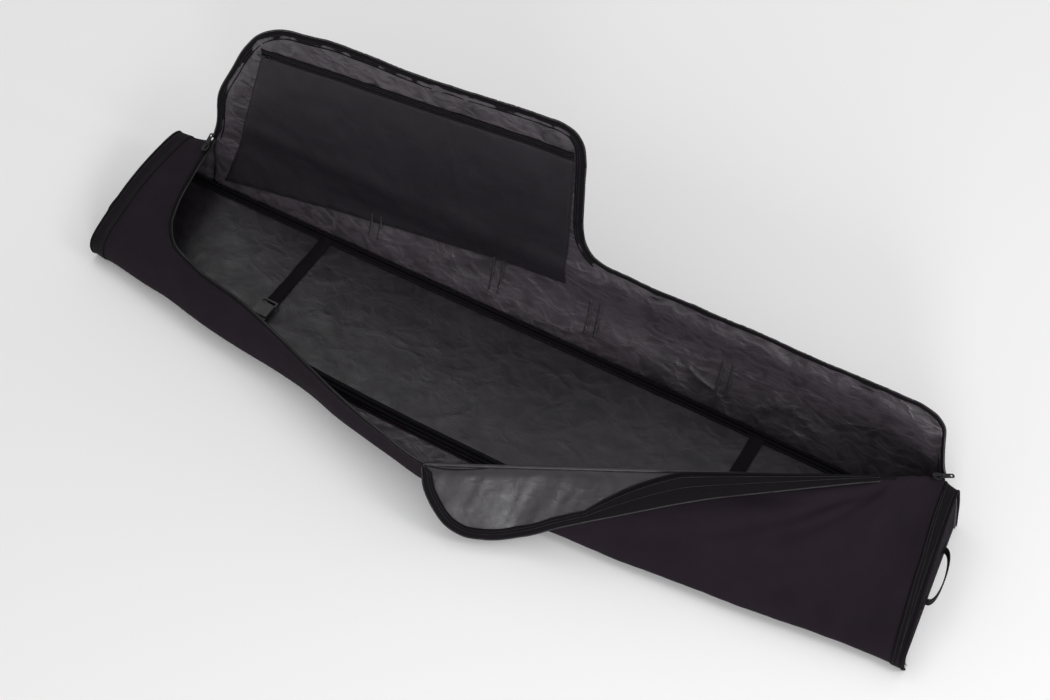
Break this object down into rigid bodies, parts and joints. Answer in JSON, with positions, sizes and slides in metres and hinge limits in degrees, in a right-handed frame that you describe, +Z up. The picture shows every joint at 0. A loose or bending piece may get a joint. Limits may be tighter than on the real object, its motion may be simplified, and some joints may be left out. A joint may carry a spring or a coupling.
{
  "type": "snowboard bag",
  "caption": "Long soft snowboard bag lying unzipped, with an S-shaped opening, two fold-back flaps, an inner zipped pocket, hold-down straps and handles.",
  "frame": {"origin": "middle of the base panel's underside, on the floor", "axes": "+X along the bag, +Y from the near side to the far side, +Z up"},
  "size_m": [1.6721, 0.5025, 0.4867],
  "materials": {
    "outer_cloth": "matte woven polyester",
    "lining_cloth": "crinkled coated nylon, semi-gloss",
    "foam_sheet": "matte foam",
    "pocket_cloth": "smooth matte nylon",
    "webbing": "ribbed webbing",
    "zip_tape": "woven tape with a nylon coil",
    "plastic": "fine-grained acetal",
    "metal": "black painted zinc"
  },
  "bodies": {
    "shell": {"base_panel": "outer_cloth", "near_wall": "outer_cloth", "far_wall": "outer_cloth", "left_top_cap": "outer_cloth", "end_panel_left": "outer_cloth", "end_panel_right": "outer_cloth", "base_lining": "lining_cloth", "near_wall_lining": "lining_cloth", "far_wall_lining": "lining_cloth", "left_cap_lining": "lining_cloth", "base_foam": "foam_sheet", "near_wall_foam": "foam_sheet", "far_wall_foam": "foam_sheet", "end_band_left": "webbing", "end_band_right": "webbing", "ring_webbing_left": "webbing", "ring_webbing_right": "webbing", "handle_webbing_left": "webbing", "handle_webbing_right": "webbing", "ring_eye_left": "webbing", "ring_eye_right": "webbing", "strap_near_left": "webbing", "strap_near_right": "webbing", "strap_far_left": "webbing", "strap_far_right": "webbing", "zip_tape_near_wall": "zip_tape", "zip_tape_far_wall": "zip_tape", "floor_piping_near": "zip_tape", "floor_piping_far": "zip_tape", "buckle_socket_left": "plastic", "buckle_socket_right": "plastic"},
    "far_flap": {"far_flap": "outer_cloth", "far_flap_lining": "lining_cloth", "zip_tape_far_flap": "zip_tape", "pocket_panel": "pocket_cloth", "pocket_zip": "zip_tape"},
    "near_flap": {"near_flap": "outer_cloth", "near_flap_lining": "lining_cloth", "zip_tape_near_flap": "zip_tape"},
    "pocket_slider": {"pocket_slider": "metal"},
    "pocket_pull": {"pocket_pull": "metal"},
    "zip_slider_left": {"zip_slider_left": "metal"},
    "zip_pull_left": {"zip_pull_left": "metal"},
    "zip_slider_right": {"zip_slider_right": "metal"},
    "zip_pull_right": {"zip_pull_right": "metal"},
    "end_handle_left": {"end_handle_left": "webbing"},
    "end_handle_right": {"end_handle_right": "webbing"},
    "carry_handle": {"carry_handle": "webbing", "handle_wrap": "pocket_cloth"},
    "ring_left": {"ring_left": "metal"},
    "ring_right": {"ring_right": "metal"},
    "buckle_plug_left": {"buckle_plug_left": "plastic"},
    "buckle_plug_right": {"buckle_plug_right": "plastic"}
  },
  "joints": [
    {"name": "far_flap_fold", "type": "hinge", "parent": "shell", "child": "far_flap", "pos_m": [0, 0.18854, 0.17833], "axis": [0.9952, 0.0051, 0.0979], "range_deg": [0, 92]},
    {"name": "near_flap_fold", "type": "hinge", "parent": "shell", "child": "near_flap", "pos_m": [0.02, -0.257, 0.105], "axis": [-0.897, -0.438, -0.0594], "range_deg": [0, 230]},
    {"name": "pocket_zip_travel", "type": "slide", "parent": "far_flap", "child": "pocket_slider", "axis": [0.9953, 0.0051, 0.0965], "range_m": [0, 0.57]},
    {"name": "pocket_pull_swing", "type": "hinge", "parent": "pocket_slider", "child": "pocket_pull", "pos_m": [-0.57743, 0.1898, 0.36774], "axis": [-0.0966, 0.0521, 0.994], "range_deg": [0, 105]},
    {"name": "left_zip_travel", "type": "slide", "parent": "shell", "child": "zip_slider_left", "axis": [0.2513, -0.9675, -0.0269], "range_m": [0, 0.1]},
    {"name": "left_pull_swing", "type": "hinge", "parent": "zip_slider_left", "child": "zip_pull_left", "pos_m": [-0.72661, 0.14724, 0.11047], "axis": [0.9679, 0.2514, 0], "range_deg": [0, 105]},
    {"name": "right_zip_travel", "type": "slide", "parent": "shell", "child": "zip_slider_right", "axis": [-0.603, -0.6771, 0.4218], "range_m": [0, 0.06]},
    {"name": "right_pull_swing", "type": "hinge", "parent": "zip_slider_right", "child": "zip_pull_right", "pos_m": [0.75891, 0.13794, 0.1185], "axis": [0.6583, -0.721, -0.2163], "range_deg": [0, 105]},
    {"name": "left_end_handle_swing", "type": "hinge", "parent": "shell", "child": "end_handle_left", "pos_m": [-0.8128, 0.006, 0.0582], "axis": [0, 1, 0], "range_deg": [0, 60]},
    {"name": "right_end_handle_swing", "type": "hinge", "parent": "shell", "child": "end_handle_right", "pos_m": [0.81572, 0.006, 0.0582], "axis": [0.0995, -0.995, 0], "range_deg": [0, 60]},
    {"name": "carry_handle_swing", "type": "hinge", "parent": "shell", "child": "carry_handle", "pos_m": [0, 0.1915, 0.106], "axis": [1, 0, 0], "range_deg": [0, 150]},
    {"name": "left_ring_swing", "type": "hinge", "parent": "shell", "child": "ring_left", "pos_m": [-0.36, 0.1915, 0.106], "axis": [1, 0, 0], "range_deg": [0, 150]},
    {"name": "right_ring_swing", "type": "hinge", "parent": "shell", "child": "ring_right", "pos_m": [0.36, 0.1915, 0.106], "axis": [1, 0, 0], "range_deg": [0, 150]},
    {"name": "left_buckle_release", "type": "slide", "parent": "shell", "child": "buckle_plug_left", "axis": [0, 1, 0], "range_m": [0, 0.03]},
    {"name": "right_buckle_release", "type": "slide", "parent": "shell", "child": "buckle_plug_right", "axis": [0, 1, 0], "range_m": [0, 0.03]}
  ]
}
